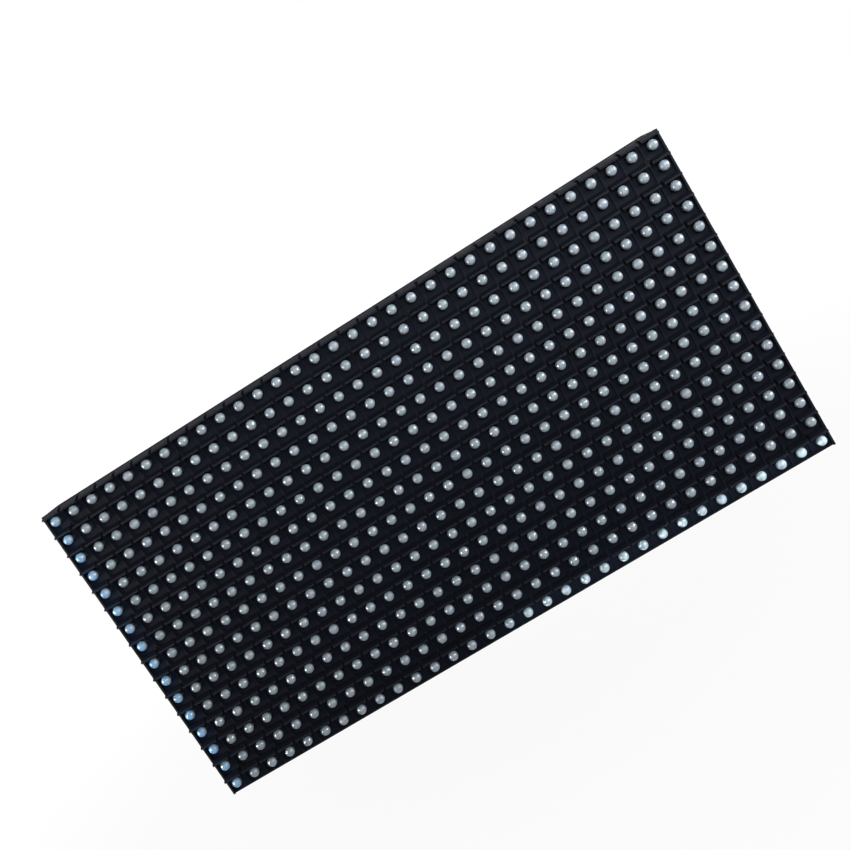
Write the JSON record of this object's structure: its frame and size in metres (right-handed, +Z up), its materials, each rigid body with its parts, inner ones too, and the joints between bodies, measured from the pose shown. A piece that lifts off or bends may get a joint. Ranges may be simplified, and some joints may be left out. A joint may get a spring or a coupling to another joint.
{
  "type": "led display module",
  "caption": "Flat outdoor led display module: a black mask with a lamp and a visor at every grid place, a circuit board, and an open rear frame with a sealing gasket and threaded inserts.",
  "frame": {"origin": "middle of the lower edge, half way through the depth", "axes": "+X to the right seen from the front, +Z up, lamps face -Y and the gasket faces +Y"},
  "size_m": [0.32, 0.0252, 0.16],
  "materials": {
    "mask_plastic": "fine moulded texture, near black",
    "lamp_resin": "diffused milky resin, glossy",
    "board_laminate": "blue solder mask, satin",
    "frame_plastic": "moulded, satin charcoal",
    "gasket_silicone": "translucent bluish silicone",
    "insert_brass": "turned",
    "screw_steel": "blackened",
    "chip_plastic": "moulded epoxy",
    "lead_metal": "tinned",
    "resistor_body": "fired ceramic with dark glaze",
    "filter_body": "fired ceramic",
    "can_sleeve": "shrink sleeve",
    "header_plastic": "moulded",
    "pin_gold": "plated",
    "socket_nylon": "natural nylon"
  },
  "bodies": {
    "root": {"front_mask": "mask_plastic", "mask_screws": "screw_steel", "circuit_board": "board_laminate", "rear_frame": "frame_plastic", "silicone_gasket": "gasket_silicone", "threaded_inserts": "insert_brass", "driver_chips": "chip_plastic", "driver_leads": "lead_metal", "switch_chips": "chip_plastic", "switch_leads": "lead_metal", "buffer_chips": "chip_plastic", "buffer_leads": "lead_metal", "resistor_packs": "resistor_body", "filter_chips": "filter_body", "filter_caps": "lead_metal", "capacitor_cans": "can_sleeve", "capacitor_wires": "lead_metal", "input_header": "header_plastic", "input_pins": "pin_gold", "output_header": "header_plastic", "output_pins": "pin_gold", "power_socket": "socket_nylon", "power_pins": "lead_metal", "lamp_row_01": "lamp_resin", "lamp_row_02": "lamp_resin", "lamp_row_03": "lamp_resin", "lamp_row_04": "lamp_resin", "lamp_row_05": "lamp_resin", "lamp_row_06": "lamp_resin", "lamp_row_07": "lamp_resin", "lamp_row_08": "lamp_resin", "lamp_row_09": "lamp_resin", "lamp_row_10": "lamp_resin", "lamp_row_11": "lamp_resin", "lamp_row_12": "lamp_resin", "lamp_row_13": "lamp_resin", "lamp_row_14": "lamp_resin", "lamp_row_15": "lamp_resin", "lamp_row_16": "lamp_resin"}
  },
  "joints": []
}
